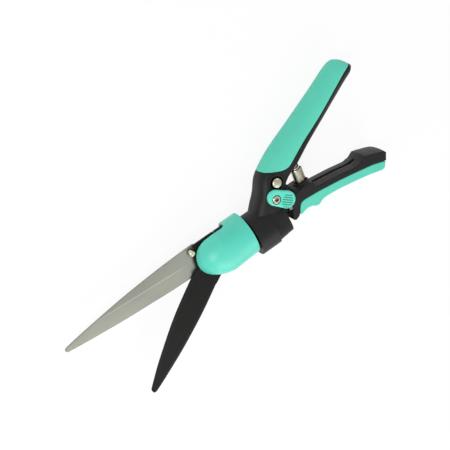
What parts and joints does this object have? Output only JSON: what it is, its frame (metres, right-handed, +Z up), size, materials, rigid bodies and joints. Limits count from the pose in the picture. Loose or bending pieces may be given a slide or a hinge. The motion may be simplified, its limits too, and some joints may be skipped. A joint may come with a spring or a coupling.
{
  "type": "grass shears",
  "caption": "Single-handed grass shears with a swivelling head: a spring-loaded lever below the upper grip pulls a rod that closes the coated moving blade over the fixed blade.",
  "frame": {"origin": "under the middle of the tool's bounding box, at the height of its lowest point as it lies on its side", "axes": "+X runs forward along the swivel axis to the blade tips, +Y is the lever's side of the upper handle, +Z is up, across the flat blades"},
  "size_m": [0.3406, 0.1672, 0.0408],
  "materials": {
    "cover_mint": "smooth moulded plastic with a soft gloss",
    "grip_mint": "soft-touch moulded plastic, fine matt grain",
    "core_black": "glass-filled moulded plastic, fine matt grain",
    "brushed_blade": "brushed along the blade, bright ground bevel",
    "coated_blade": "dark non-stick coating, matt, with a bright ground edge",
    "bright_steel": "bright nickel plate",
    "plain_steel": "plain turned or stamped steel"
  },
  "bodies": {
    "handle": {"housing": "core_black", "upper_grip": "grip_mint", "lever_rivet": "bright_steel", "thrust_washer_near": "plain_steel", "thrust_washer_far": "plain_steel", "latch_washer": "plain_steel", "latch_screw": "bright_steel", "detent_ball": "bright_steel", "detent_spring": "plain_steel", "volute_spring": "bright_steel"},
    "lever": {"lever_frame": "core_black", "lever_grip": "grip_mint", "rod_pin": "plain_steel"},
    "rod": {"pull_rod": "plain_steel"},
    "head": {"head_base": "core_black", "head_cover": "cover_mint", "cover_screw_front": "plain_steel", "cover_screw_rear": "plain_steel", "retainer_ring": "plain_steel", "fixed_blade": "brushed_blade", "blade_rivet_left": "plain_steel", "blade_rivet_right": "plain_steel", "open_stop_pin": "bright_steel", "pivot_bolt": "bright_steel", "pivot_washer": "plain_steel", "spring_washer": "plain_steel", "pivot_nut": "plain_steel"},
    "yoke": {"rod_yoke": "plain_steel"},
    "blade": {"moving_blade": "coated_blade", "crank_pin": "plain_steel"},
    "latch": {"latch": "grip_mint"}
  },
  "joints": [
    {"name": "lever_squeeze", "type": "hinge", "parent": "handle", "child": "lever", "pos_m": [-0.0573, -0.0227, 0.0204], "axis": [0, 0, 1], "range_deg": [0, 12.4], "stiffness_Nm_per_rad": 4, "springref_deg": -17.19, "deforming": ["volute_spring"]},
    {"name": "rod_pull", "type": "slide", "parent": "handle", "child": "rod", "axis": [-1, 0, 0], "range_m": [0, 0.00638]},
    {"name": "head_swivel", "type": "hinge", "parent": "handle", "child": "head", "pos_m": [-0.0257, 0.0063, 0.0204], "axis": [1, 0, 0], "range_deg": [-90, 90]},
    {"name": "yoke_pull", "type": "slide", "parent": "head", "child": "yoke", "axis": [-1, 0, 0], "range_m": [0, 0.00638]},
    {"name": "blade_swing", "type": "hinge", "parent": "head", "child": "blade", "pos_m": [0.0168, 0.0063, 0.0204], "axis": [0, 0, 1], "range_deg": [-34.85, 0]},
    {"name": "latch_turn", "type": "hinge", "parent": "handle", "child": "latch", "pos_m": [-0.0492, -0.0114, 0.0204], "axis": [0, 0, 1], "range_deg": [-24, 0]}
  ],
  "couplings": [
    {"joint": "rod_pull", "follows": "lever_squeeze", "m_per_rad": 0.029454},
    {"joint": "yoke_pull", "follows": "lever_squeeze", "m_per_rad": 0.029454},
    {"joint": "blade_swing", "follows": "lever_squeeze", "ratio": -2.8065}
  ]
}
